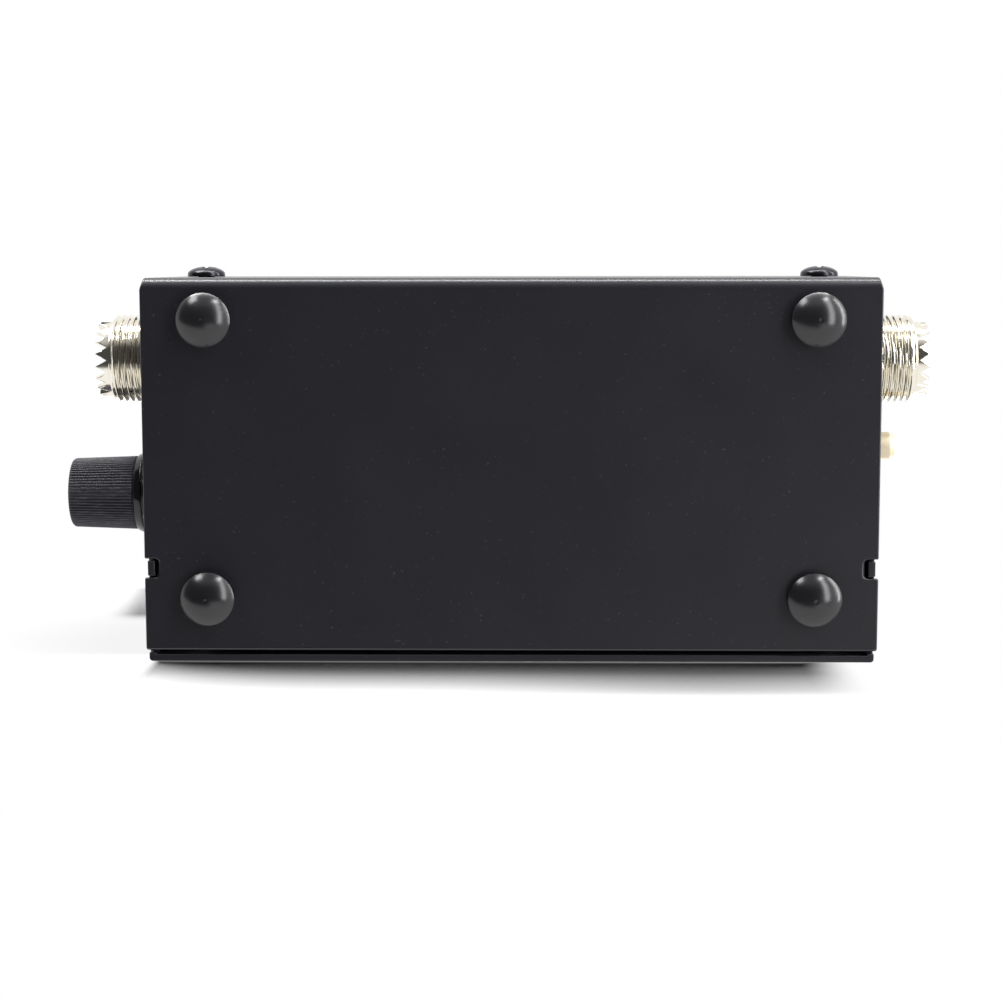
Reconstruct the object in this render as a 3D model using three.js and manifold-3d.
// SWR meter: a folded steel case with two coaxial sockets, a calibration knob,
// a whip aerial socket, a moving-coil meter and a directional coupler inside.
// Millimetres, +Z up, front panel towards -Y, standing on its four feet.
// X runs across the case from its middle, Y forward from the rear face is negative,
// and Z is counted from the underside of the bottom plate until the last section.

import * as THREE from 'three';
import { mergeVertices } from 'three/addons/utils/BufferGeometryUtils.js';
import Module from 'manifold-3d';

const wasm = await Module();
wasm.setup();

// Sizes of the case
const coverWidth = 126;
const coverDepth = 64;
const caseHeight = 45;
const coverSheet = 1;
const coverBendRadius = 1.6;
const coverCornerRadius = 0.5;
const rearWallTaper = 0.5;
const chassisSheet = 1.2;
const chassisBendRadius = 1.6;
const chassisInset = 0.55;
const frontCornerRadius = 0.6;
const frontGap = 0.7;
const sheetClearance = 0.25;
const rearFlangeWidth = 13;
const frontLipDepth = 0.4;
const notchWidth = 3.3;
const notchDepth = 2.35;
const notchCornerRadius = 0.8;
const notchSetback = 14.3;
const tabWidth = 2.6;

// Clearances that every seat and hole shares
const seatGap = 0.1;
const holeClearance = 0.25;
const runningClearance = 0.12;
const cutOverrun = 1;

// Feet
const footRadius = 4.6;
const footHeight = 3.8;
const footEdge = 0.45;
const footRestRadius = 1.35;
const footSideInset = 11;
const footRearInset = 7.1;
const footFrontInset = 9.2;

// Case screws
const caseScrewInset = 8;
const caseScrewHeadRadius = 3.35;
const caseScrewHeadHeight = 1.85;
const caseScrewHeadEdge = 0.5;
const caseScrewShankRadius = 1.45;
const caseScrewLength = 4.4;
const crossWidth = 0.85;
const crossLength = 3.4;
const crossDepth = 1.1;

// Coaxial sockets
const socketInset = 14.7;
const socketReach = 11.75;
const threadRadius = 7.9;
const threadDepth = 0.65;
const threadPitch = 1.0583;
const threadStart = 0.3;
const crownRadius = 6.65;
const crownDepth = 2.1;
const crownNeck = 0.6;
const crownTeeth = 18;
const socketBoreRadius = 5.7;
const shoulderRadius = 9.5;
const shoulderThickness = 2.5;
const bossRadius = 5.2;
const bossLength = 3;
const bossBoreRadius = 4.1;
const insulatorRecess = 2.6;
const insulatorTail = 2.2;
const contactRadius = 2.9;
const contactBoreRadius = 1.95;
const contactBoreDepth = 10;
const contactTailRadius = 1.7;
const solderCupRadius = 1.15;
const solderCupDepth = 2.6;
const contactTailLength = 3.4;
const contactLead = 0.1;
const socketNutFlats = 18;
const socketNutThickness = 1.8;

// Coupler between the sockets
const troughHalfWidth = 6.5;
const troughSheet = 0.8;
const lineRadius = 1;
const boardMargin = 6.8;
const boardHeight = 15;
const boardThickness = 1.6;
const pickupRadius = 0.5;
const pickupOffset = 3.2;
const pickupInset = 12;
const pickupStandoff = 1.9;
const diodeRadius = 0.95;
const diodeLength = 4;
const resistorRadius = 1.2;
const resistorLength = 6.4;
const leadRadius = 0.3;
const leadSpread = 1.9;
const componentStandoff = 0.5;
const pinRadius = 0.6;
const pinLength = 3.5;

// Calibration control
const knobInset = 39;
const knobStandoff = 3.6;
const knobReach = 17.25;
const knobTipRadius = 6.2;
const knobBaseRadius = 6.65;
const knobSkirtRadius = 7.4;
const knobSkirtHeight = 1.7;
const knobRidges = 30;
const knobRidgeDepth = 0.32;
const knobEdge = 0.6;
const knobBoreEnd = 14;
const knobCavityRadius = 4.5;
const knobCavityDepth = 3.2;
const shaftRadius = 3;
const bushingRadius = 4;
const bushingReach = 6.2;
const controlCanRadius = 8;
const controlCanLength = 9;
const controlNutFlats = 10;
const controlNutThickness = 2;
const lugWidth = 1.6;
const lugThickness = 0.5;
const lugLength = 4.5;
const lugPitch = 5;

// Whip aerial socket
const whipInset = 30.4;
const whipRadius = 2.48;
const whipReach = 6.45;
const whipBoreRadius = 1.1;
const whipBoreDepth = 6;
const whipEdge = 0.55;
const whipShankRadius = 1.9;
const whipShankLength = 7;
const bushFlangeRadius = 4.4;
const bushFlangeThickness = 1.15;
const bushSleeveRadius = 2.9;
const bushInnerThickness = 0.9;
const whipLugRadius = 3.6;
const whipLugTail = 6.5;
const whipNutFlats = 7;
const whipNutThickness = 2.4;

// Meter
const earSideGap = 1.75;
const switchRoom = 57.3;
const bezelMargin = 4.8;
const bezelCornerRadius = 2;
const bezelRecess = 0.15;
const bezelFlange = 1.8;
const bezelDepth = 2.6;
const windowSideBand = 3.7;
const windowTopBand = 4.2;
const paneLip = 1;
const paneThickness = 1.3;
const housingWall = 1.6;
const housingDepth = 18.1;
const earLength = 8;
const earHeight = 9;
const earThickness = 2.4;
const earScrewInset = 4;
const pivotShare = 0.2514;
const dialDepth = 6.2;
const dialThickness = 0.5;
const dialClearance = 0.4;
const dialCutMargin = 1.3;
const dialScrewInset = 6.9;
const dialScrewShank = 0.75;
const dialScrewLength = 4;
const postRadius = 2.1;
const needleDepth = 5.1;
const needleThickness = 0.3;
const needleMargin = 1;
const needleRootWidth = 1;
const needleTipWidth = 0.3;
const needleHubRadius = 1.5;
const needleTail = 4.6;
const counterweightWidth = 1.8;
const counterweightLength = 1.5;
const sweepAngle = 90;
const coilClearance = 0.5;
const coilThickness = 0.8;
const coilBarWidth = 2.4;
const coilEndThickness = 1;
const yokeDepth = 7.6;
const yokeLength = 8;
const yokeWall = 1.8;
const yokeClearance = 0.8;
const movementClearance = 0.5;
const yokeEarLength = 6.1;
const yokeEarHeight = 4.6;
const yokeEarThickness = 2;
const pegInset = 2.2;
const pegRadius = 1.2;
const pegLead = 0.5;
const bearingRadius = 1.8;
const bearingDepth = 1;
const coilEndGap = 0.4;
const coreRibWidth = 2.4;
const bridgeDepth = 3.5;
const bridgeThickness = 0.7;
const bridgeWidth = 3.2;
const bridgeLegWidth = 2.4;
const bridgeLegThickness = 1.4;
const pivotRadius = 0.5;
const hairspringDepth = 4.4;
const hairspringHeight = 0.35;
const hairspringInner = 0.85;
const hairspringOuter = 3.3;
const hairspringStrip = 0.14;
const hairspringTurns = 3;
const adjusterRadius = 2.4;
const adjusterSlotWidth = 0.7;
const adjusterSlotDepth = 0.8;
const adjusterShankRadius = 1.2;
const adjusterPinRadius = 0.4;
const adjusterPinOffset = 0.9;
const adjusterArmDepth = 2.9;
const adjusterArmThickness = 0.3;
const adjusterArmWidth = 2.4;
const adjusterForkGap = 1.2;
const adjusterForkDepth = 2.8;
const terminalX = 12;
const terminalShare = 0.226;
const terminalRadius = 1.5;
const terminalCollarRadius = 2.6;
const terminalCollarThickness = 1;
const terminalReach = 4.5;

// Countersunk panel screws
const panelScrewHeadRadius = 2.7;
const panelScrewHeadHeight = 1.3;
const panelScrewShankRadius = 1.4;
const panelScrewLength = 5;

// Forward and reflected switch
const switchMargin = 9.25;
const switchFrameWidth = 30;
const switchFrameHeight = 10;
const switchFrameSheet = 0.8;
const switchScrewX = 12.2;
const switchCheekDepth = 5.5;
const switchBodyWidth = 17;
const switchBodyHeight = 7.6;
const switchBodyDepth = 7;
const switchLeverWidth = 5;
const switchLeverHeight = 4.2;
const switchLeverRecess = 0.25;
const switchTravel = 4;
const switchFootWidth = 7.5;
const switchFootDepth = 2;
const switchRibs = 3;
const switchRibDepth = 0.35;
const switchRibWidth = 0.5;
const switchLugRows = 2;
const switchLugColumns = 3;
const switchLugPitch = 4;
const switchLugRowPitch = 4;
const switchLugLength = 3.5;

// Hookup wire
const wireRadius = 0.6;
const wireSides = 5;
const wireSteps = 18;
const wireRiseShare = 0.35;
const wireDropShare = 0.16;
const wireSagShare = 0.11;

// Smoothness, in segments of a full turn
const turn = 24;
const smallTurn = 16;
const coarseTurn = 12;
const leadTurn = 6;
const bendSteps = 4;
const domeSteps = 5;
const hexSides = 6;
const cornerTolerance = 1e-5;

// Places worked out from the sizes above
const halfWidth = coverWidth / 2;
const sideX = halfWidth - chassisInset;
const sideInnerX = sideX - chassisSheet;
const frontInnerY = -(coverDepth + frontGap);
const frontY = frontInnerY - chassisSheet;
const flangeY = -(coverSheet + sheetClearance);
const sheetFloor = coverSheet + sheetClearance;
const midHeight = caseHeight / 2;
const caseScrewX = halfWidth - caseScrewInset;
const meterSideMargin = chassisInset + chassisSheet + earSideGap + earLength + bezelFlange;
const bezelWidth = coverWidth - meterSideMargin - switchRoom;
const bezelHeight = caseHeight - 2 * bezelMargin;
const meterX = meterSideMargin + bezelWidth / 2 - halfWidth;
const switchX = sideInnerX - switchMargin - switchFrameWidth / 2;
const windowWidth = bezelWidth - 2 * windowSideBand;
const pivotDrop = pivotShare * bezelHeight;
const windowTop = bezelHeight / 2 - windowTopBand;
const windowHeight = windowTop + pivotDrop;
const windowRise = (windowTop - pivotDrop) / 2;
const adjusterDrop = (pivotDrop + bezelHeight / 2) / 2;
const needleLength = windowTop + pivotDrop - needleMargin;
const terminalRise = terminalShare * bezelHeight;
const housingWidth = bezelWidth + 2 * bezelFlange;
const housingHeight = bezelHeight + 2 * bezelFlange;
const yokeOuterRadius = housingHeight / 2 - housingWall - pivotDrop - movementClearance;
const yokeInnerRadius = yokeOuterRadius - yokeWall;
const coilOuterRadius = yokeInnerRadius - yokeClearance;
const coilInnerRadius = coilOuterRadius - coilThickness;
const coreRadius = coilInnerRadius - coilClearance;
const yokeEarReach = yokeOuterRadius + yokeEarLength;
const pegX = yokeEarReach - pegInset;
const dialCutRadius = yokeOuterRadius + dialCutMargin;
const dialScrewX = housingWidth / 2 - housingWall - dialScrewInset;
const dialScrewDrop = pivotDrop - yokeEarHeight / 2 - postRadius - movementClearance;
const halfSweep = THREE.MathUtils.degToRad(sweepAngle / 2);
const quarterTurn = Math.PI / 2;

// Closed geometry to solid, with merged corners, no collapsed faces and its faces outwards
function solid(geometry) {
  const plain = geometry.clone();
  plain.deleteAttribute('normal');
  plain.deleteAttribute('uv');
  const merged = mergeVertices(plain, cornerTolerance);
  const spots = merged.attributes.position.array;
  const corners = merged.index.array;
  const faces = [];
  let volume = 0;
  const a = new THREE.Vector3();
  const b = new THREE.Vector3();
  const c = new THREE.Vector3();
  for (let i = 0; i < corners.length; i += 3) {
    const [p, q, r] = [corners[i], corners[i + 1], corners[i + 2]];
    if (p === q || q === r || r === p) continue;
    a.fromArray(spots, 3 * p);
    b.fromArray(spots, 3 * q);
    c.fromArray(spots, 3 * r);
    volume += a.dot(b.cross(c));
    faces.push([p, q, r]);
  }
  const ordered = volume < 0 ? faces.map(([p, q, r]) => [p, r, q]) : faces;
  return new wasm.Manifold(new wasm.Mesh({
    numProp: 3,
    vertProperties: Float32Array.from(spots),
    triVerts: Uint32Array.from(ordered.flat()),
  }));
}

// Solid back to a geometry with flat shading
function geometryOf(shape) {
  const mesh = shape.getMesh();
  const geometry = new THREE.BufferGeometry();
  geometry.setAttribute('position', new THREE.BufferAttribute(mesh.vertProperties, mesh.numProp));
  geometry.setIndex(new THREE.BufferAttribute(mesh.triVerts, 1));
  geometry.computeVertexNormals();
  return geometry;
}

// Joins and cuts
const join = (first, ...others) => others.reduce((sum, next) => sum.add(next), first);
const cut = (first, ...others) => others.reduce((left, next) => left.subtract(next), first);

// The two numbers with the lower one first
const span = (a, b) => (a < b ? [a, b] : [b, a]);

// Box between two corners
function box([x0, x1], [y0, y1], [z0, z1]) {
  const block = new THREE.BoxGeometry(x1 - x0, y1 - y0, z1 - z0);
  block.translate((x0 + x1) / 2, (y0 + y1) / 2, (z0 + z1) / 2);
  return solid(block);
}

// Turns a geometry whose height runs along +Y so that it runs along another axis
function aim(geometry, axis) {
  if (axis === 'x') geometry.rotateZ(-quarterTurn);
  if (axis === 'z') geometry.rotateX(quarterTurn);
  if (axis === '-z') geometry.rotateX(-quarterTurn);
  if (axis === '-y') geometry.rotateX(Math.PI);
  return geometry;
}

// Round bar along an axis from one height to another, centred on a point
function bar(axis, radius, from, to, segments = turn, [x, y, z] = [0, 0, 0]) {
  const round = new THREE.CylinderGeometry(radius, radius, to - from, segments);
  round.translate(0, (from + to) / 2, 0);
  aim(round, axis);
  round.translate(x, y, z);
  return solid(round);
}

// Turned piece from a profile of radius and height pairs
function turned(axis, profile, segments = turn) {
  const points = profile.map(([radius, height]) => new THREE.Vector2(radius, height));
  return solid(aim(new THREE.LatheGeometry(points, segments), axis));
}

// Ring along an axis
function ring(axis, inner, outer, from, to, segments = turn) {
  return turned(axis, [[inner, from], [outer, from], [outer, to], [inner, to], [inner, from]], segments);
}

// Hexagonal nut along X with flats facing up and down
function hexNut(flats, boreRadius, from, to) {
  const across = new THREE.CylinderGeometry(
    flats / Math.sqrt(3), flats / Math.sqrt(3), to - from, hexSides,
  );
  across.translate(0, (from + to) / 2, 0);
  aim(across, 'x');
  across.rotateX(quarterTurn);
  return cut(solid(across), bar('x', boreRadius, from - cutOverrun, to + cutOverrun));
}

// Outline extruded along +X, its first coordinate on Y and its second on Z
function acrossX(shape, from, to, curveSegments = bendSteps) {
  const plate = new THREE.ExtrudeGeometry(shape, { depth: to - from, bevelEnabled: false, curveSegments });
  plate.applyMatrix4(new THREE.Matrix4().makeBasis(
    new THREE.Vector3(0, 1, 0), new THREE.Vector3(0, 0, 1), new THREE.Vector3(1, 0, 0),
  ));
  plate.translate(from, 0, 0);
  return solid(plate);
}

// Outline extruded along +Y, its first coordinate on X and its second on Z
function throughY(shape, from, to, curveSegments = bendSteps) {
  const plate = new THREE.ExtrudeGeometry(shape, { depth: to - from, bevelEnabled: false, curveSegments });
  plate.applyMatrix4(new THREE.Matrix4().makeBasis(
    new THREE.Vector3(1, 0, 0), new THREE.Vector3(0, 0, 1), new THREE.Vector3(0, -1, 0),
  ));
  plate.translate(0, to, 0);
  return solid(plate);
}

// Outline extruded along +Z, its coordinates on X and Y
function upZ(shape, from, to, curveSegments = bendSteps) {
  const plate = new THREE.ExtrudeGeometry(shape, { depth: to - from, bevelEnabled: false, curveSegments });
  plate.translate(0, 0, from);
  return solid(plate);
}

// Rectangle with rounded corners
function roundedRectangle(width, height, radius, [x, y] = [0, 0]) {
  const shape = new THREE.Shape();
  const [left, right] = [x - width / 2, x + width / 2];
  const [low, high] = [y - height / 2, y + height / 2];
  shape.moveTo(left + radius, low);
  shape.lineTo(right - radius, low);
  shape.absarc(right - radius, low + radius, radius, -quarterTurn, 0, false);
  shape.lineTo(right, high - radius);
  shape.absarc(right - radius, high - radius, radius, 0, quarterTurn, false);
  shape.lineTo(left + radius, high);
  shape.absarc(left + radius, high - radius, radius, quarterTurn, Math.PI, false);
  shape.lineTo(left, low + radius);
  shape.absarc(left + radius, low + radius, radius, Math.PI, Math.PI + quarterTurn, false);
  return shape;
}

// Finishes
const finish = (color, roughness, metalness) => ({ color, roughness, metalness });
const blackPaint = finish(0x2a2a2e, 0.5, 0.1);
const blackRubber = finish(0x17171b, 0.45, 0);
const blackScrew = finish(0x1c1c1f, 0.35, 0.6);
const nickel = finish(0xd8d2b4, 0.22, 1);
const steel = finish(0xb4b6b8, 0.35, 1);
const brass = finish(0xd0bd8a, 0.3, 1);
const copper = finish(0xb87348, 0.35, 1);
const whitePlastic = finish(0xf0eee6, 0.5, 0);
const blackPlastic = finish(0x1a1a1c, 0.5, 0);
const brownPlastic = finish(0x5a3a24, 0.6, 0);
const boardGreen = finish(0x2f5a3c, 0.55, 0);
const clearPlastic = finish(0xe8f0f2, 0.1, 0);
const diodeGlass = finish(0xb08a5c, 0.1, 0);
const dialWhite = finish(0xf2efe2, 0.7, 0);
const needleRed = finish(0xb0281e, 0.5, 0);
const magnetGrey = finish(0x6a6c70, 0.5, 0.8);

const part = new THREE.Group();
const sides = [[1, 'right'], [-1, 'left']];

// Adds a named piece to a group, placed in that group
function add(group, name, shape, look, [x, y, z] = [0, 0, 0]) {
  const mesh = new THREE.Mesh(geometryOf(shape), new THREE.MeshStandardMaterial(look));
  mesh.name = name;
  mesh.position.set(x, y, z);
  group.add(mesh);
  return mesh;
}

// Group placed in the part, turned about the vertical when asked
function placed([x, y, z], turnZ = 0) {
  const group = new THREE.Group();
  group.position.set(x, y, z);
  group.rotation.z = turnZ;
  part.add(group);
  return group;
}

// Side view of a sheet folded into a U with its mouth towards the front
function foldedSheet(depth, height, sheet, radius) {
  const shape = new THREE.Shape();
  const inner = radius - sheet;
  shape.moveTo(-depth, 0);
  shape.lineTo(-radius, 0);
  shape.absarc(-radius, radius, radius, -quarterTurn, 0, false);
  shape.lineTo(0, height - radius);
  shape.absarc(-radius, height - radius, radius, 0, quarterTurn, false);
  shape.lineTo(-depth, height);
  shape.lineTo(-depth, height - sheet);
  shape.lineTo(-radius, height - sheet);
  shape.absarc(-radius, height - radius, inner, quarterTurn, 0, true);
  shape.lineTo(-sheet, radius);
  shape.absarc(-radius, radius, inner, 0, -quarterTurn, true);
  shape.lineTo(-depth, sheet);
  return shape;
}

// Open-ended slot in a side edge of the cover, round in its inner corners
function edgeNotch(side) {
  const y = notchSetback - coverDepth;
  const [low, high] = [y - notchWidth / 2, y + notchWidth / 2];
  const inner = halfWidth - notchDepth;
  const shape = new THREE.Shape();
  shape.moveTo(side * (halfWidth + cutOverrun), low);
  shape.lineTo(side * (halfWidth + cutOverrun), high);
  shape.lineTo(side * (inner + notchCornerRadius), high);
  shape.quadraticCurveTo(side * inner, high, side * inner, high - notchCornerRadius);
  shape.lineTo(side * inner, low + notchCornerRadius);
  shape.quadraticCurveTo(side * inner, low, side * (inner + notchCornerRadius), low);
  return upZ(shape, -cutOverrun, caseHeight + cutOverrun);
}

// Wedge that narrows the cover from the start of its folds to the rear wall's face
function rearTaper(side) {
  const edge = (y) => halfWidth - rearWallTaper * (1 + y / coverBendRadius);
  const shape = new THREE.Shape();
  shape.moveTo(side * edge(-coverBendRadius), -coverBendRadius);
  shape.lineTo(side * edge(cutOverrun), cutOverrun);
  shape.lineTo(side * (halfWidth + cutOverrun), cutOverrun);
  shape.lineTo(side * (halfWidth + cutOverrun), -coverBendRadius);
  return upZ(shape, -cutOverrun, caseHeight + cutOverrun);
}

// Cover: bottom, rear wall and top in one folded sheet
function makeCover() {
  const outline = roundedRectangle(
    coverWidth, coverDepth + 2 * coverCornerRadius, coverCornerRadius,
    [0, coverCornerRadius - coverDepth / 2],
  );
  let sheet = acrossX(
    foldedSheet(coverDepth, caseHeight, coverSheet, coverBendRadius), -halfWidth, halfWidth,
  ).intersect(upZ(outline, -cutOverrun, caseHeight + cutOverrun));
  for (const side of [-1, 1]) {
    const screwHole = bar(
      'y', caseScrewShankRadius + holeClearance, -(coverSheet + cutOverrun), cutOverrun,
      coarseTurn, [side * caseScrewX, 0, midHeight],
    );
    sheet = cut(sheet, rearTaper(side), edgeNotch(side), screwHole);
  }
  return sheet;
}

// Plan view of the chassis: front wall, side walls and the flanges behind the rear wall. The
// front corners are pressed sharp, and the rear ones are plain bends.
function chassisPlan() {
  const shape = new THREE.Shape();
  const r = chassisBendRadius;
  const corner = frontCornerRadius;
  const inner = r - chassisSheet;
  const back = flangeY;
  const flangeEnd = sideX - rearFlangeWidth;
  shape.moveTo(-flangeEnd, back);
  shape.lineTo(-(sideX - r), back);
  shape.absarc(-(sideX - r), back - r, r, quarterTurn, Math.PI, false);
  shape.lineTo(-sideX, frontY + corner);
  shape.absarc(-(sideX - corner), frontY + corner, corner, Math.PI, Math.PI + quarterTurn, false);
  shape.lineTo(sideX - corner, frontY);
  shape.absarc(sideX - corner, frontY + corner, corner, -quarterTurn, 0, false);
  shape.lineTo(sideX, back - r);
  shape.absarc(sideX - r, back - r, r, 0, quarterTurn, false);
  shape.lineTo(flangeEnd, back);
  shape.lineTo(flangeEnd, back - chassisSheet);
  shape.lineTo(sideX - r, back - chassisSheet);
  shape.absarc(sideX - r, back - r, inner, quarterTurn, 0, true);
  shape.lineTo(sideInnerX, frontInnerY);
  shape.lineTo(-sideInnerX, frontInnerY);
  shape.lineTo(-sideInnerX, back - r);
  shape.absarc(-(sideX - r), back - r, inner, Math.PI, quarterTurn, true);
  shape.lineTo(-flangeEnd, back - chassisSheet);
  return shape;
}

// Countersunk hole through the front wall, its mouth at the front face
function countersunkHole([x, z]) {
  const reach = chassisSheet + cutOverrun;
  const profile = [
    [0, -cutOverrun],
    [panelScrewHeadRadius + holeClearance, -cutOverrun],
    [panelScrewHeadRadius + holeClearance, 0],
    [panelScrewShankRadius + holeClearance, panelScrewHeadHeight - seatGap],
    [panelScrewShankRadius + holeClearance, reach],
    [0, reach],
  ];
  return turned('y', profile, coarseTurn).translate([x, frontY, z]);
}

// Places of the panel screws: two for the meter and two for the switch
const meterScrewX = bezelWidth / 2 + bezelFlange + earLength - earScrewInset + holeClearance;
const meterScrews = [-1, 1].map((side) => [meterX + side * meterScrewX, midHeight]);
const switchScrews = [-1, 1].map((side) => [switchX + side * switchScrewX, midHeight]);

// Chassis: front wall, both side walls and the rear flanges in one folded sheet
function makeChassis() {
  let sheet = upZ(chassisPlan(), 0, caseHeight);
  const trimFront = -(coverDepth + frontLipDepth);
  const trims = [[-cutOverrun, sheetFloor], [caseHeight - sheetFloor, caseHeight + cutOverrun]];
  for (const [low, high] of trims) {
    sheet = cut(sheet, box(
      [-(halfWidth + cutOverrun), halfWidth + cutOverrun], [trimFront, cutOverrun], [low, high],
    ));
  }
  const tabY = notchSetback - coverDepth;
  for (const side of [-1, 1]) {
    const wall = span(side * sideInnerX, side * sideX);
    sheet = join(
      sheet,
      box(wall, [tabY - tabWidth / 2, tabY + tabWidth / 2], [0, caseHeight]),
    );
    const rearHole = bar(
      'y', caseScrewShankRadius + holeClearance, flangeY - chassisSheet - cutOverrun, cutOverrun,
      coarseTurn, [side * caseScrewX, 0, midHeight],
    );
    const reach = span(side * (sideInnerX - cutOverrun), side * (sideX + cutOverrun));
    sheet = cut(
      sheet, rearHole,
      bar('x', threadRadius + holeClearance, reach[0], reach[1], turn, [0, -socketInset, midHeight]),
    );
  }
  const slotWidth = switchLeverWidth + switchTravel + 2 * holeClearance;
  const slotHeight = switchLeverHeight + 2 * holeClearance;
  return cut(
    sheet,
    bar('x', bushingRadius + holeClearance, sideInnerX - cutOverrun, sideX + cutOverrun, turn,
      [0, -knobInset, midHeight]),
    bar('x', bushSleeveRadius + holeClearance, -sideX - cutOverrun, -sideInnerX + cutOverrun, coarseTurn,
      [0, -whipInset, midHeight]),
    throughY(
      roundedRectangle(
        bezelWidth + 2 * holeClearance, bezelHeight + 2 * holeClearance, bezelCornerRadius,
        [meterX, midHeight],
      ),
      frontY - cutOverrun, frontInnerY + cutOverrun,
    ),
    box(
      [switchX - slotWidth / 2, switchX + slotWidth / 2],
      [frontY - cutOverrun, frontInnerY + cutOverrun],
      [midHeight - slotHeight / 2, midHeight + slotHeight / 2],
    ),
    ...meterScrews.map(countersunkHole),
    ...switchScrews.map(countersunkHole),
  );
}

add(part, 'cover', makeCover(), blackPaint);
add(part, 'chassis', makeChassis(), blackPaint);

// Domed foot, its tip flat where it rests
function makeFoot() {
  const rise = footHeight - footEdge;
  const dome = Array.from({ length: domeSteps + 1 }, (_, i) => {
    const angle = (i / domeSteps) * quarterTurn;
    return [
      footRestRadius + (footRadius - footRestRadius) * Math.cos(angle),
      footEdge + rise * Math.sin(angle),
    ];
  });
  return turned('-z', [[0, 0], [footRadius, 0], ...dome, [0, footHeight]], turn);
}

const footPlaces = {
  foot_rear_left: [footSideInset - halfWidth, -footRearInset],
  foot_rear_right: [halfWidth - footSideInset, -footRearInset],
  foot_front_left: [footSideInset - halfWidth, footFrontInset - coverDepth],
  foot_front_right: [halfWidth - footSideInset, footFrontInset - coverDepth],
};
for (const [name, [x, y]] of Object.entries(footPlaces)) {
  add(part, name, makeFoot(), blackRubber, [x, y, 0]);
}

// Round-headed screw with a cross recess, its head towards +Y
function makeCaseScrew() {
  const dome = Array.from({ length: domeSteps + 1 }, (_, i) => {
    const angle = (i / domeSteps) * quarterTurn;
    return [
      caseScrewHeadRadius * Math.cos(angle),
      caseScrewHeadEdge + (caseScrewHeadHeight - caseScrewHeadEdge) * Math.sin(angle),
    ];
  });
  const profile = [
    [0, -caseScrewLength], [caseScrewShankRadius, -caseScrewLength],
    [caseScrewShankRadius, 0], [caseScrewHeadRadius, 0], ...dome,
  ];
  const recess = [caseScrewHeadHeight - crossDepth, caseScrewHeadHeight + cutOverrun];
  const long = [-crossLength / 2, crossLength / 2];
  const narrow = [-crossWidth / 2, crossWidth / 2];
  return cut(turned('y', profile, smallTurn), box(long, recess, narrow), box(narrow, recess, long));
}

for (const [side, name] of sides) {
  add(part, `${name}_case_screw`, makeCaseScrew(), blackScrew, [side * caseScrewX, seatGap, midHeight]);
}

// Coaxial sockets, each in a group whose +X points outwards from the side wall's outer face
const shoulderFace = -(chassisSheet + seatGap);
const shoulderBack = shoulderFace - shoulderThickness;
const bossEnd = shoulderBack - bossLength;
const stepBack = shoulderBack + shoulderThickness / 2;
const crownBase = socketReach - crownDepth;
const insulatorFace = socketReach - insulatorRecess;
const insulatorEnd = bossEnd - insulatorTail;
const contactEnd = insulatorEnd - contactTailLength;

// Shell: thread, toothed crown, shoulder and the boss behind it
function makeSocketShell() {
  const threadEnd = crownBase - crownNeck;
  const turns = Math.floor((threadEnd - threadStart) / threadPitch);
  const ridges = Array.from({ length: turns }, (_, i) => {
    const start = threadEnd - (turns - i) * threadPitch;
    return [[threadRadius - threadDepth, start], [threadRadius, start + threadPitch / 2]];
  }).flat();
  const profile = [
    [bossBoreRadius, bossEnd], [bossRadius, bossEnd], [bossRadius, shoulderBack],
    [shoulderRadius, shoulderBack], [shoulderRadius, shoulderFace],
    [threadRadius - threadDepth, shoulderFace],
    ...ridges, [threadRadius - threadDepth, threadEnd],
    [crownRadius, threadEnd + crownNeck / 2], [crownRadius, socketReach],
    [socketBoreRadius, socketReach], [socketBoreRadius, stepBack],
    [bossBoreRadius, stepBack], [bossBoreRadius, bossEnd],
  ];
  const toothHalf = (Math.PI * crownRadius) / crownTeeth;
  const vee = new THREE.Shape();
  vee.moveTo(0, crownBase);
  vee.lineTo(toothHalf + cutOverrun * (toothHalf / crownDepth), socketReach + cutOverrun);
  vee.lineTo(-(toothHalf + cutOverrun * (toothHalf / crownDepth)), socketReach + cutOverrun);
  let shell = turned('x', profile, turn);
  for (let i = 0; i < crownTeeth; i += 1) {
    const wedge = new THREE.ExtrudeGeometry(vee, { depth: crownRadius + cutOverrun, bevelEnabled: false });
    wedge.rotateZ(-quarterTurn);
    wedge.rotateX((i / crownTeeth) * 2 * Math.PI);
    shell = cut(shell, solid(wedge));
  }
  return shell;
}

// Insulator: a plug with a narrower tail through the boss
function makeInsulator() {
  const front = stepBack + seatGap;
  return turned('x', [
    [contactTailRadius + seatGap, insulatorEnd],
    [bossBoreRadius - seatGap, insulatorEnd],
    [bossBoreRadius - seatGap, front],
    [socketBoreRadius - seatGap, front],
    [socketBoreRadius - seatGap, insulatorFace],
    [contactRadius + seatGap, insulatorFace],
    [contactRadius + seatGap, front],
    [contactTailRadius + seatGap, front],
    [contactTailRadius + seatGap, insulatorEnd],
  ], smallTurn);
}

// Centre contact: a tube for the plug's pin and a solder cup behind
function makeContact() {
  const mouth = insulatorFace + contactLead;
  const back = stepBack + 2 * seatGap;
  return turned('x', [
    [0, contactEnd + solderCupDepth],
    [solderCupRadius, contactEnd + solderCupDepth],
    [solderCupRadius, contactEnd],
    [contactTailRadius, contactEnd],
    [contactTailRadius, back],
    [contactRadius, back],
    [contactRadius, mouth],
    [contactBoreRadius, mouth],
    [contactBoreRadius, mouth - contactBoreDepth],
    [0, mouth - contactBoreDepth],
  ], smallTurn);
}

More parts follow.
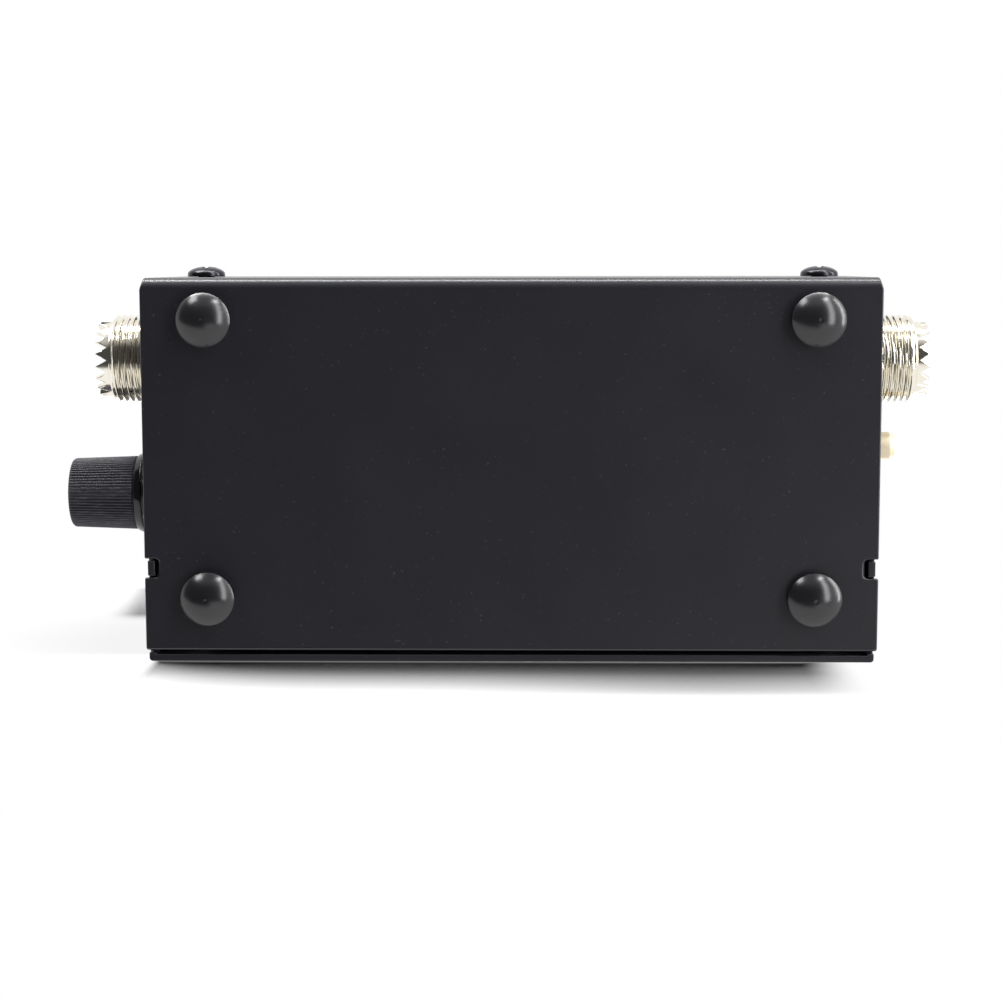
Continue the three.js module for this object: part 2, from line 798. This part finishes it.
const nutFrom = seatGap;
for (const [side, name] of sides) {
  const socket = placed([side * sideX, -socketInset, midHeight], side > 0 ? 0 : Math.PI);
  add(socket, `${name}_socket_shell`, makeSocketShell(), nickel);
  add(socket, `${name}_socket_insulator`, makeInsulator(), whitePlastic);
  add(socket, `${name}_socket_contact`, makeContact(), brass);
  add(socket, `${name}_socket_nut`,
    hexNut(socketNutFlats, threadRadius + runningClearance, nutFrom, nutFrom + socketNutThickness), nickel);
}

// Coupler: trough, line, board and pickups, on the axis between the two sockets
const troughEnd = sideX + shoulderBack - seatGap;
const boardBack = -troughHalfWidth - seatGap;
const boardFront = boardBack - boardThickness;
const troughInner = troughHalfWidth - troughSheet;
const boardLength = 2 * (troughEnd - boardMargin);

// Trough: a channel open towards the front, with an end plate at each socket
function makeTrough() {
  const h = troughHalfWidth;
  const outer = box([-troughEnd, troughEnd], [-h, h], [-h, h]);
  const hollow = box(
    [troughSheet - troughEnd, troughEnd - troughSheet],
    [-h - cutOverrun, troughInner],
    [-troughInner, troughInner],
  );
  return cut(outer, hollow, bar('x', bossRadius + runningClearance, -halfWidth, halfWidth));
}

// Bent wire standing off the board's inner face between two legs
function makePickup(rise) {
  const reach = boardLength / 2 - pickupInset;
  const y = boardBack + pickupStandoff;
  const foot = boardBack + seatGap;
  return join(
    bar('x', pickupRadius, -reach, reach, leadTurn, [0, y, rise]),
    bar('y', pickupRadius, foot, y, leadTurn, [-reach + pickupRadius, 0, rise]),
    bar('y', pickupRadius, foot, y, leadTurn, [reach - pickupRadius, 0, rise]),
  );
}

// Axial component lying in front of the board, on two bent leads
function makeAxial(radius, length, [x, z]) {
  const y = boardFront - componentStandoff - radius;
  const reach = length / 2 + leadSpread;
  const foot = boardFront - seatGap;
  const leads = [-1, 1].map((side) => bar(
    'y', leadRadius, y, foot, leadTurn, [x + side * (reach - leadRadius), 0, z],
  ));
  return join(
    bar('x', radius, x - length / 2, x + length / 2, coarseTurn, [0, y, z]),
    bar('x', leadRadius, x - reach, x + reach, leadTurn, [0, y, z]),
    ...leads,
  );
}

const coupler = placed([0, -socketInset, midHeight]);
add(coupler, 'coupler_trough', makeTrough(), brass);
const cupInner = sideX + contactEnd + solderCupDepth - seatGap;
add(coupler, 'through_line', bar('x', lineRadius, -cupInner, cupInner, coarseTurn), copper);
const partSpacing = boardLength / 6;
const rowRise = boardHeight / 4;
const pinPlaces = {
  forward: [partSpacing / 2, -rowRise],
  reflected: [-partSpacing / 2, -rowRise],
  ground: [0, rowRise],
  field: [partSpacing / 2 - boardLength / 2, 0],
};
const pinTip = boardFront - pinLength;
add(coupler, 'pickup_board', join(
  box([-boardLength / 2, boardLength / 2], [boardFront, boardBack], [-boardHeight / 2, boardHeight / 2]),
  ...Object.values(pinPlaces).map(([x, z]) => bar('y', pinRadius, pinTip, boardBack, leadTurn, [x, 0, z])),
), boardGreen);
const ways = [[1, 'forward'], [-1, 'reflected']];
for (const [way, name] of ways) {
  const x = way * 2 * partSpacing;
  add(coupler, `${name}_pickup`, makePickup(way * pickupOffset), copper);
  add(coupler, `${name}_diode`, makeAxial(diodeRadius, diodeLength, [x, rowRise]), diodeGlass);
  add(coupler, `${name}_resistor`, makeAxial(resistorRadius, resistorLength, [x, -rowRise]), brownPlastic);
}

// Calibration control, in a group whose +X points outwards from the right wall
const control = placed([sideX, -knobInset, midHeight]);
const canFace = -(chassisSheet + seatGap);
const canBack = canFace - controlCanLength;
const shaftEnd = canBack + controlCanLength / 2;
const shaftTip = knobBoreEnd - seatGap;

// Knob: tapered grip with straight ridges above a smooth flared skirt
function makeKnob() {
  const skirtTop = knobStandoff + knobSkirtHeight;
  const gripFrom = skirtTop + seatGap;
  const gripTo = knobReach - knobEdge;
  const profile = [
    [0, knobStandoff],
    [knobSkirtRadius - knobEdge / 2, knobStandoff],
    [knobSkirtRadius, knobStandoff + knobEdge / 2],
    [(knobSkirtRadius + knobBaseRadius) / 2, skirtTop - knobEdge / 2],
    [knobBaseRadius - knobRidgeDepth, skirtTop],
    [knobBaseRadius, gripFrom],
    [knobTipRadius, gripTo],
    [knobTipRadius - knobEdge / 2, knobReach - knobEdge / 4],
    [knobTipRadius - knobEdge, knobReach],
    [0, knobReach],
  ];
  const lathe = new THREE.LatheGeometry(profile.map(([r, h]) => new THREE.Vector2(r, h)), 2 * knobRidges);
  const spots = lathe.attributes.position;
  const ridged = profile.map(([, height]) => height === gripFrom || height === gripTo);
  for (let i = 0; i < spots.count; i += 1) {
    const column = Math.floor(i / profile.length) % (2 * knobRidges);
    if (ridged[i % profile.length] && column % 2 === 1) {
      const radius = Math.hypot(spots.getX(i), spots.getZ(i));
      const share = (radius - knobRidgeDepth) / radius;
      spots.setX(i, spots.getX(i) * share);
      spots.setZ(i, spots.getZ(i) * share);
    }
  }
  return cut(
    solid(aim(lathe, 'x')),
    bar('x', shaftRadius + runningClearance, knobStandoff - cutOverrun, knobBoreEnd),
    bar('x', knobCavityRadius, knobStandoff - cutOverrun, knobStandoff + knobCavityDepth),
  );
}

// Control body: can, threaded bushing, the bore for the shaft and three solder lugs below
const lugTip = -controlCanRadius - lugLength;
const lugX = canFace - controlCanLength / 3;
function makeControlBody() {
  const bore = shaftRadius + runningClearance;
  const can = turned('x', [
    [0, canBack], [controlCanRadius, canBack], [controlCanRadius, canFace],
    [bushingRadius, canFace], [bushingRadius, bushingReach], [bore, bushingReach],
    [bore, shaftEnd - seatGap], [0, shaftEnd - seatGap],
  ], turn);
  const lugs = [-1, 0, 1].map((i) => box(
    [lugX - lugThickness / 2, lugX + lugThickness / 2],
    [i * lugPitch - lugWidth / 2, i * lugPitch + lugWidth / 2],
    [lugTip, -controlCanRadius / 2],
  ));
  return join(can, ...lugs);
}

add(control, 'calibration_knob', makeKnob(), blackPlastic);
add(control, 'control_shaft', bar('x', shaftRadius, shaftEnd, shaftTip), steel);
add(control, 'control_body', makeControlBody(), steel);
add(control, 'control_nut', hexNut(
  controlNutFlats, bushingRadius + runningClearance, seatGap, seatGap + controlNutThickness,
), steel);

// Whip aerial socket, in a group whose +X points outwards from the left wall
const whip = placed([-sideX, -whipInset, midHeight], Math.PI);
const bushFace = seatGap + bushFlangeThickness;
const whipSeat = bushFace + seatGap;
const bushInnerFrom = -(chassisSheet + seatGap);
const bushInnerTo = bushInnerFrom - bushInnerThickness;
const whipLugFrom = bushInnerTo - seatGap;
const whipLugTo = whipLugFrom - lugThickness;
const whipNutFrom = whipLugTo - seatGap;
const whipNutTo = whipNutFrom - whipNutThickness;
const whipHole = whipShankRadius + runningClearance;
add(whip, 'whip_socket', turned('x', [
  [0, -whipShankLength], [whipShankRadius, -whipShankLength], [whipShankRadius, whipSeat],
  [whipRadius, whipSeat], [whipRadius, whipReach - whipEdge],
  [whipRadius - whipEdge / 3, whipReach - whipEdge / 3], [whipRadius - whipEdge, whipReach],
  [whipBoreRadius, whipReach], [whipBoreRadius, whipReach - whipBoreDepth],
  [0, whipReach - whipBoreDepth],
], smallTurn), brass);
add(whip, 'whip_bush', turned('x', [
  [whipHole, bushInnerTo], [bushFlangeRadius, bushInnerTo], [bushFlangeRadius, bushInnerFrom],
  [bushSleeveRadius, bushInnerFrom], [bushSleeveRadius, seatGap],
  [bushFlangeRadius, seatGap], [bushFlangeRadius, bushFace], [whipHole, bushFace], [whipHole, bushInnerTo],
], smallTurn), blackPlastic);
add(whip, 'whip_lug', cut(
  join(
    bar('x', whipLugRadius, whipLugTo, whipLugFrom, turn),
    box([whipLugTo, whipLugFrom], [-lugWidth / 2, lugWidth / 2], [-whipLugRadius - whipLugTail, 0]),
  ),
  bar('x', whipHole, whipLugTo - cutOverrun, whipLugFrom + cutOverrun, turn),
), brass);
add(whip, 'whip_nut', hexNut(whipNutFlats, whipHole, whipNutTo, whipNutFrom), brass);

// Meter, in a group with its origin on the front wall's outer face and +Y into the case
const axis = [0, 0, -pivotDrop];
const meter = placed([meterX, frontY, midHeight]);
const flangeFrom = chassisSheet + seatGap;
const openingMid = [0, windowRise];
const paneWidth = windowWidth + 2 * paneLip;
const paneHeight = windowHeight + 2 * paneLip;
const housingFrom = bezelDepth + seatGap;
const housingTo = housingFrom + housingDepth;
const housingInner = housingTo - housingWall;
const postEnd = housingTo - housingWall / 2;
const dialBack = dialDepth + dialThickness;
const yokeBack = yokeDepth + yokeLength;
const bridgeBack = bridgeDepth + bridgeThickness;
const coilFront = yokeDepth - coilEndGap - coilEndThickness;
const coilBack = yokeBack + coilEndGap + coilEndThickness;
const bearingFace = coilBack + coilEndGap;
const pivotEnd = bearingFace + bearingDepth - seatGap;

// Bezel: the frame around the window, held behind the wall by its flange
function makeBezel() {
  const frame = join(
    throughY(roundedRectangle(bezelWidth, bezelHeight, bezelCornerRadius), bezelRecess, bezelDepth),
    throughY(roundedRectangle(housingWidth, housingHeight, bezelCornerRadius), flangeFrom, bezelDepth),
  );
  const paneSeat = bezelDepth - paneThickness - seatGap;
  return cut(
    frame,
    throughY(roundedRectangle(windowWidth, windowHeight, bezelCornerRadius / 2, openingMid),
      -cutOverrun, bezelDepth + cutOverrun),
    throughY(roundedRectangle(
      paneWidth + 2 * seatGap, paneHeight + 2 * seatGap, bezelCornerRadius / 2, openingMid,
    ), paneSeat, bezelDepth + cutOverrun),
    bar('y', adjusterRadius + runningClearance, -cutOverrun, bezelDepth - adjusterSlotDepth, turn,
      [0, 0, -adjusterDrop]),
    bar('y', adjusterShankRadius + runningClearance, 0, bezelDepth + cutOverrun, turn,
      [0, 0, -adjusterDrop]),
  );
}

// Housing: an open box with posts for the movement and the dial, and an ear at each end
function makeHousing() {
  const inner = [housingWidth - 2 * housingWall, housingHeight - 2 * housingWall];
  let shell = cut(
    throughY(roundedRectangle(housingWidth, housingHeight, bezelCornerRadius), housingFrom, housingTo),
    throughY(roundedRectangle(...inner, bezelCornerRadius / 2), housingFrom - cutOverrun, housingInner),
  );
  for (const side of [-1, 1]) {
    const earFrom = side * (housingWidth / 2 - housingWall / 2);
    const earTo = side * (housingWidth / 2 + earLength);
    const earX = span(earFrom, earTo);
    const screwX = side * meterScrewX;
    const dialPost = [side * dialScrewX, 0, -dialScrewDrop];
    const yokePost = [side * pegX, 0, -pivotDrop];
    shell = join(
      shell,
      box(earX, [housingFrom, housingFrom + earThickness], [-earHeight / 2, earHeight / 2]),
      bar('y', postRadius, dialBack + seatGap, postEnd, coarseTurn, dialPost),
      bar('y', postRadius, yokeBack + seatGap, postEnd, coarseTurn, yokePost),
      bar('y', pegRadius, yokeBack - yokeEarThickness - pegLead, postEnd, coarseTurn, yokePost),
    );
    shell = cut(
      shell,
      bar('y', panelScrewShankRadius + holeClearance, 0, housingTo, coarseTurn, [screwX, 0, 0]),
      bar('y', dialScrewShank + runningClearance, 0, dialDepth + dialScrewLength, coarseTurn, dialPost),
      bar('y', terminalRadius + holeClearance, housingInner - cutOverrun, housingTo + cutOverrun,
        coarseTurn, [side * terminalX, 0, terminalRise]),
    );
  }
  return cut(
    join(shell, bar('y', bearingRadius, bearingFace, postEnd, coarseTurn, axis)),
    bar('y', pivotRadius + runningClearance, 0, bearingFace + bearingDepth, coarseTurn, axis),
  );
}

// Countersunk screw with a cross recess, flush in the front wall
function makePanelScrew() {
  const screw = turned('y', [
    [0, 0], [panelScrewHeadRadius, 0], [panelScrewShankRadius, panelScrewHeadHeight],
    [panelScrewShankRadius, panelScrewHeadHeight + panelScrewLength],
    [0, panelScrewHeadHeight + panelScrewLength],
  ], coarseTurn);
  const recess = [-cutOverrun, crossDepth / 2];
  const long = [-crossLength / 3, crossLength / 3];
  const narrow = [-crossWidth / 3, crossWidth / 3];
  return cut(screw, box(long, recess, narrow), box(narrow, recess, long));
}

// Flat spiral strip, one unbroken outline from its inner end to its outer end and back
function makeHairspring(from) {
  const steps = hairspringTurns * coarseTurn;
  const edge = (offset) => Array.from({ length: steps + 1 }, (_, i) => {
    const share = i / steps;
    const radius = hairspringInner + (hairspringOuter - hairspringInner) * share + offset;
    const angle = share * hairspringTurns * 2 * Math.PI + quarterTurn;
    return new THREE.Vector2(radius * Math.cos(angle), radius * Math.sin(angle) - pivotDrop);
  });
  const outline = [...edge(hairspringStrip / 2), ...edge(-hairspringStrip / 2).reverse()];
  return throughY(new THREE.Shape(outline), from, from + hairspringHeight);
}

// Bridge across the yoke's front with a bearing hole in its middle and a leg at each end
function makeBridge() {
  const legFrom = (yokeInnerRadius + yokeOuterRadius) / 2 - bridgeLegThickness / 2;
  const legTo = legFrom + bridgeLegThickness;
  const legs = [[-legTo, -legFrom], [legFrom, legTo]].map((x) => box(
    x, [bridgeDepth, yokeDepth - seatGap], [-bridgeLegWidth / 2, bridgeLegWidth / 2],
  ));
  return cut(
    join(box([-legTo, legTo], [bridgeDepth, bridgeBack], [-bridgeWidth / 2, bridgeWidth / 2]), ...legs),
    bar('y', pivotRadius + runningClearance, 0, bridgeBack + cutOverrun, coarseTurn),
  ).translate(axis);
}

add(meter, 'meter_bezel', makeBezel(), blackPlastic);
add(meter, 'meter_window', throughY(
  roundedRectangle(paneWidth, paneHeight, bezelCornerRadius / 2, openingMid),
  bezelDepth - paneThickness, bezelDepth,
), clearPlastic);
add(meter, 'meter_housing', makeHousing(), blackPlastic);

// Dial plate, cut away around the movement
function makeDial() {
  const width = housingWidth - 2 * housingWall - 2 * dialClearance;
  const height = housingHeight - 2 * housingWall - 2 * dialClearance;
  const plate = throughY(
    roundedRectangle(width, height, bezelCornerRadius / 2), dialDepth, dialBack,
  );
  const reach = [dialDepth - cutOverrun, dialBack + cutOverrun];
  return cut(
    plate,
    bar('y', dialCutRadius, reach[0], reach[1], turn, [0, 0, -pivotDrop]),
    box([-dialCutRadius, dialCutRadius], reach, [-housingHeight, -pivotDrop]),
    ...[-1, 1].map((side) => bar(
      'y', dialScrewShank + runningClearance, reach[0], reach[1], coarseTurn,
      [side * dialScrewX, 0, -dialScrewDrop],
    )),
  );
}
add(meter, 'dial_plate', makeDial(), dialWhite);

// Core magnet, with the two ribs that carry it inside the yoke
function makeCore() {
  const ribs = [-1, 1].map((side) => {
    const near = side * (coreRadius / 2);
    const far = side * (Math.sqrt(yokeInnerRadius ** 2 - (coreRibWidth / 2) ** 2) - 2 * seatGap);
    const z = span(near, far);
    return box([-coreRibWidth / 2, coreRibWidth / 2], [yokeDepth, yokeBack], z);
  });
  return join(bar('y', coreRadius, yokeDepth, yokeBack, turn), ...ribs);
}
add(meter, 'core_magnet', makeCore(), magnetGrey, axis);

// Yoke: the ring around the coil with two ears for its screws
function makeYoke() {
  const ears = [-1, 1].map((side) => {
    const x = span(side * (yokeInnerRadius + yokeOuterRadius) / 2, side * yokeEarReach);
    return box(x, [yokeBack - yokeEarThickness, yokeBack], [-yokeEarHeight / 2, yokeEarHeight / 2]);
  });
  const holes = [-1, 1].map((side) => bar(
    'y', pegRadius + runningClearance, 0, yokeBack + cutOverrun, coarseTurn,
    [side * pegX, 0, 0],
  ));
  const body = join(bar('y', yokeOuterRadius, yokeDepth, yokeBack), ...ears);
  return cut(body, bar('y', yokeInnerRadius, 0, yokeBack + cutOverrun), ...holes).translate(axis);
}
add(meter, 'yoke_ring', makeYoke(), steel);
add(meter, 'front_bridge', makeBridge(), brass);
add(meter, 'hairspring', makeHairspring(hairspringDepth), brass);

// Moving group, turned about the pivot to the zero end of the scale
const moving = new THREE.Group();
moving.position.set(0, 0, -pivotDrop);
moving.rotation.y = -halfSweep;
meter.add(moving);

// Needle: a lance from its hub, with a counterweighted tail
function makeNeedle() {
  const lance = new THREE.Shape();
  lance.moveTo(-needleRootWidth / 2, 0);
  lance.lineTo(needleRootWidth / 2, 0);
  lance.lineTo(needleTipWidth / 2, needleLength);
  lance.lineTo(-needleTipWidth / 2, needleLength);
  const [from, to] = [needleDepth, needleDepth + needleThickness];
  return cut(
    join(
      throughY(lance, from, to),
      bar('y', needleHubRadius, from, to, coarseTurn),
      box([-needleRootWidth / 2, needleRootWidth / 2], [from, to], [-needleTail, 0]),
      box([-counterweightWidth / 2, counterweightWidth / 2], [from, to],
        [-needleTail, counterweightLength - needleTail]),
    ),
    bar('y', pivotRadius + seatGap, from - cutOverrun, to + cutOverrun, coarseTurn),
  );
}

// Coil: a rectangular winding around the core, with a pivot on its front and its back
function makeCoil() {
  const half = coilBarWidth / 2;
  return join(
    cut(
      box([-coilOuterRadius, coilOuterRadius], [coilFront, coilBack], [-half, half]),
      box(
        [-coilInnerRadius, coilInnerRadius],
        [coilFront + coilEndThickness, coilBack - coilEndThickness],
        [-half - cutOverrun, half + cutOverrun],
      ),
    ),
    bar('y', pivotRadius, bridgeDepth + seatGap, coilFront + coilEndThickness / 2, coarseTurn),
    bar('y', pivotRadius, coilBack - coilEndThickness / 2, pivotEnd, coarseTurn),
  );
}
add(moving, 'needle', makeNeedle(), needleRed);
add(moving, 'moving_coil', makeCoil(), copper);

// Zero adjuster: the slotted screw in the bezel and the forked arm behind it
const adjusterHeadTo = bezelDepth - adjusterSlotDepth - seatGap;
const adjusterHeadFrom = bezelRecess + seatGap;
const armTo = adjusterArmDepth + adjusterArmThickness;
const adjusterPinTo = bridgeDepth - seatGap;
const adjusterShankTo = adjusterArmDepth - seatGap;
add(meter, 'zero_adjuster', cut(
  join(
    bar('y', adjusterRadius, adjusterHeadFrom, adjusterHeadTo, turn),
    bar('y', adjusterShankRadius, adjusterHeadFrom, adjusterShankTo, coarseTurn),
    bar('y', adjusterPinRadius, adjusterHeadTo, adjusterPinTo, leadTurn, [0, 0, -adjusterPinOffset]),
  ),
  box(
    [-adjusterRadius - cutOverrun, adjusterRadius + cutOverrun],
    [-cutOverrun, adjusterHeadFrom + adjusterSlotDepth],
    [-adjusterSlotWidth / 2, adjusterSlotWidth / 2],
  ),
), blackPlastic, [0, 0, -adjusterDrop]);

// Arm: a ring around the pivot's axis, a fork below and a tab for the hairspring above
function makeArm() {
  const pinDistance = adjusterDrop + adjusterPinOffset - pivotDrop;
  const forkTop = pinDistance - adjusterForkDepth / 2;
  const half = adjusterArmWidth / 2;
  const depth = [adjusterArmDepth, armTo];
  return cut(
    join(
      bar('y', adjusterRadius, adjusterArmDepth, armTo, turn),
      box([-half, half], depth, [-(pinDistance + adjusterForkDepth / 2), 0]),
      box([-half / 2, half / 2], depth, [0, hairspringOuter + adjusterArmThickness]),
      box([-half / 2, half / 2], [adjusterArmDepth, hairspringDepth + hairspringHeight],
        [hairspringOuter + 2 * seatGap, hairspringOuter + 2 * seatGap + adjusterArmThickness]),
    ),
    bar('y', pivotRadius + holeClearance, adjusterArmDepth - cutOverrun, armTo + cutOverrun, coarseTurn),
    box([-adjusterForkGap / 2, adjusterForkGap / 2], [depth[0] - cutOverrun, depth[1] + cutOverrun],
      [-(pinDistance + adjusterForkDepth), -forkTop]),
  );
}
add(meter, 'adjuster_arm', makeArm(), brass, axis);

// Meter terminal: a stud through the housing's back, its collar inside
function makeTerminal() {
  const collarFrom = housingInner - seatGap - terminalCollarThickness;
  return join(
    bar('y', terminalRadius, collarFrom, housingTo + terminalReach, coarseTurn),
    bar('y', terminalCollarRadius, collarFrom, housingInner - seatGap, coarseTurn),
  );
}
for (const [side, name] of sides) {
  add(meter, `${name}_terminal`, makeTerminal(), brass, [side * terminalX, 0, terminalRise]);
}

// Switch, in a group with its origin on the front wall's outer face and +Y into the case
const slide = placed([switchX, frontY, midHeight]);
const frameFrom = chassisSheet + seatGap;
const frameTo = frameFrom + switchFrameSheet;
const bodyFrom = frameTo + seatGap;
const bodyTo = bodyFrom + switchBodyDepth;
const footFrom = frameTo + 2 * seatGap;
const footTo = footFrom + switchFootDepth;
const leverStart = -switchTravel / 2;
const slotHalf = (switchLeverWidth + switchTravel) / 2 + holeClearance;

// Frame: a plate with a slot, two screw holes and a cheek above and below the body
function makeSwitchFrame() {
  const inner = switchBodyHeight / 2 + seatGap;
  const outer = inner + switchFrameSheet;
  const cheekX = [-switchBodyWidth / 2, switchBodyWidth / 2];
  const slotRise = switchLeverHeight / 2 + holeClearance;
  return cut(
    join(
      box([-switchFrameWidth / 2, switchFrameWidth / 2], [frameFrom, frameTo],
        [-switchFrameHeight / 2, switchFrameHeight / 2]),
      box(cheekX, [frameFrom, frameTo + switchCheekDepth], [inner, outer]),
      box(cheekX, [frameFrom, frameTo + switchCheekDepth], [-outer, -inner]),
    ),
    box([-slotHalf, slotHalf], [0, bodyTo], [-slotRise, slotRise]),
    ...[-1, 1].map((side) => bar(
      'y', panelScrewShankRadius + holeClearance, 0, bodyTo, coarseTurn, [side * switchScrewX, 0, 0],
    )),
  );
}

// Places of the solder lugs behind the body, in two rows
const lugTipY = bodyTo + switchLugLength;
const switchLug = (row, column) => [
  (column - (switchLugColumns - 1) / 2) * switchLugPitch,
  (row - (switchLugRows - 1) / 2) * switchLugRowPitch,
];

// Body: a block with a pocket in which the lever's foot slides, and its solder lugs
function makeSwitchBody() {
  const pocket = (switchFootWidth + switchTravel) / 2 + holeClearance;
  const rise = switchLeverHeight / 2 + holeClearance;
  const lugs = [];
  for (let row = 0; row < switchLugRows; row += 1) {
    for (let column = 0; column < switchLugColumns; column += 1) {
      const [x, z] = switchLug(row, column);
      lugs.push(box([x - lugThickness / 2, x + lugThickness / 2], [bodyTo - lugThickness, lugTipY],
        [z - lugWidth / 2, z + lugWidth / 2]));
    }
  }
  return join(
    cut(
      box([-switchBodyWidth / 2, switchBodyWidth / 2], [bodyFrom, bodyTo],
        [-switchBodyHeight / 2, switchBodyHeight / 2]),
      box([-pocket, pocket], [0, footTo + holeClearance], [-rise, rise]),
    ),
    ...lugs,
  );
}

// Lever: ribbed thumb piece, flush with the panel, on a wider foot
function makeLever() {
  const half = switchLeverHeight / 2;
  const ribPitch = switchLeverWidth / (switchRibs + 1);
  const grooves = Array.from({ length: switchRibs }, (_, i) => {
    const x = (i - (switchRibs - 1) / 2) * ribPitch;
    return box([x - switchRibWidth / 2, x + switchRibWidth / 2],
      [-cutOverrun, switchLeverRecess + switchRibDepth], [-half - cutOverrun, half + cutOverrun]);
  });
  return cut(
    join(
      box([-switchLeverWidth / 2, switchLeverWidth / 2], [switchLeverRecess, footTo], [-half, half]),
      box([-switchFootWidth / 2, switchFootWidth / 2], [footFrom, footTo], [-half, half]),
    ),
    ...grooves,
  );
}

add(slide, 'switch_frame', makeSwitchFrame(), steel);
add(slide, 'switch_body', makeSwitchBody(), brownPlastic);
add(slide, 'switch_lever', makeLever(), blackPlastic, [leverStart, 0, 0]);
const panelScrews = { meter_screw: meterScrews, switch_screw: switchScrews };
for (const [name, places] of Object.entries(panelScrews)) {
  places.forEach(([x, z], i) => {
    add(part, `${sides[1 - i][1]}_${name}`, makePanelScrew(), blackScrew, [x, frontY + seatGap, z]);
  });
}

// How far a wire runs straight from its ends, and how far it sags between them
const wireRoom = (pinTip - socketInset) - (frontY + housingTo + terminalReach);
const wireRise = wireRiseShare * wireRoom;
const wireDrop = wireDropShare * midHeight;
const wireSag = wireSagShare * midHeight;

// Wire between two points, leaving each along its own direction and sagging between them
function makeWire(start, startWay, end, endWay, sags) {
  const from = new THREE.Vector3(...start);
  const to = new THREE.Vector3(...end);
  const leave = from.clone().add(new THREE.Vector3(...startWay));
  const arrive = to.clone().add(new THREE.Vector3(...endWay));
  const middle = leave.clone().lerp(arrive, 1 / 2);
  middle.z -= sags * wireSag;
  const route = new THREE.CatmullRomCurve3([from, leave, middle, arrive, to], false, 'centripetal');
  const section = new THREE.Shape(Array.from({ length: wireSides }, (_, i) => {
    const angle = (i / wireSides) * 2 * Math.PI;
    return new THREE.Vector2(wireRadius * Math.cos(angle), wireRadius * Math.sin(angle));
  }));
  return solid(new THREE.ExtrudeGeometry(section, {
    steps: wireSteps, bevelEnabled: false, extrudePath: route,
  }));
}

// Ends that the wires meet, in the part's own frame
const wireSeat = wireRadius + 2 * seatGap;
const pinEnd = ([x, z]) => [x, -socketInset + pinTip - 2 * seatGap, midHeight + z];
const switchEnd = (row, column) => {
  const [x, z] = switchLug(row, column);
  return [switchX + x, frontY + lugTipY + 2 * seatGap, midHeight + z];
};
const controlEnd = (i) => [sideX + lugX, -knobInset + i * lugPitch, midHeight + lugTip - 2 * seatGap];
const terminalEnd = (side) => [
  meterX + side * terminalX, frontY + housingTo + terminalReach + 2 * seatGap, midHeight + terminalRise,
];
const whipTailX = -sideX - (whipLugFrom + whipLugTo) / 2;
const whipEnd = [whipTailX, -whipInset, midHeight - whipLugRadius - whipLugTail - wireSeat];
const toFront = [0, -wireRise, 0];
const toRear = [0, wireRise, 0];
const down = [0, 0, -wireDrop];
const wires = {
  forward_wire: [pinEnd(pinPlaces.forward), toFront, switchEnd(1, 2), toRear, 4],
  reflected_wire: [pinEnd(pinPlaces.reflected), toFront, switchEnd(1, 0), toRear, 2],
  switch_wire: [switchEnd(0, 1), toRear, controlEnd(-1), down, 0],
  wiper_wire: [controlEnd(0), down, terminalEnd(1), toRear, 0],
  ground_wire: [pinEnd(pinPlaces.ground), toFront, terminalEnd(-1), toRear, 1],
  whip_wire: [whipEnd, down, pinEnd(pinPlaces.field), toFront, 0],
};
for (const [name, ends] of Object.entries(wires)) {
  add(part, name, makeWire(...ends), blackPlastic);
}

// Stands the part on its feet and centres its outer box on the origin
const reachRight = sideX + knobReach;
const reachLeft = sideX + socketReach;
const reachRear = caseScrewHeadHeight + seatGap;
for (const child of part.children) {
  child.position.x -= (reachRight - reachLeft) / 2;
  child.position.y -= (reachRear + frontY) / 2;
  child.position.z += footHeight;
}

export default part;
